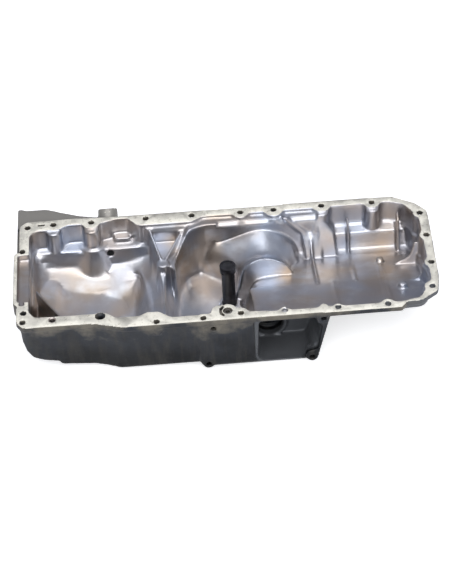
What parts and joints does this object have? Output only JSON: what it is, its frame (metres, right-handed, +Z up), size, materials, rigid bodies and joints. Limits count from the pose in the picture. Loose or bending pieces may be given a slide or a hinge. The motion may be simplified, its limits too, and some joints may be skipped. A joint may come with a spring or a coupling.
{
  "type": "engine oil pan",
  "caption": "Cast aluminium engine oil pan for all-wheel drive: gasket rim, two sump basins, shaft tunnel, level sensor and drain plug.",
  "frame": {"origin": "on the resting plane, under the floor of the main sump beside the ridge", "axes": "+X from the gearbox end to the front of the engine, +Y from the differential side to the far side, +Z up to the gasket face"},
  "size_m": [0.642, 0.303, 0.1124],
  "materials": {
    "casting": "cast, oily inside, grimy outside",
    "sensor": "moulded",
    "steel": "used",
    "washer": "plain"
  },
  "bodies": {
    "root": {"oil_pan_casting": "casting", "level_sensor": "sensor", "sensor_screw_1": "steel", "sensor_screw_2": "steel", "gallery_plug": "steel", "drain_plug": "steel", "drain_washer": "washer"}
  },
  "joints": []
}
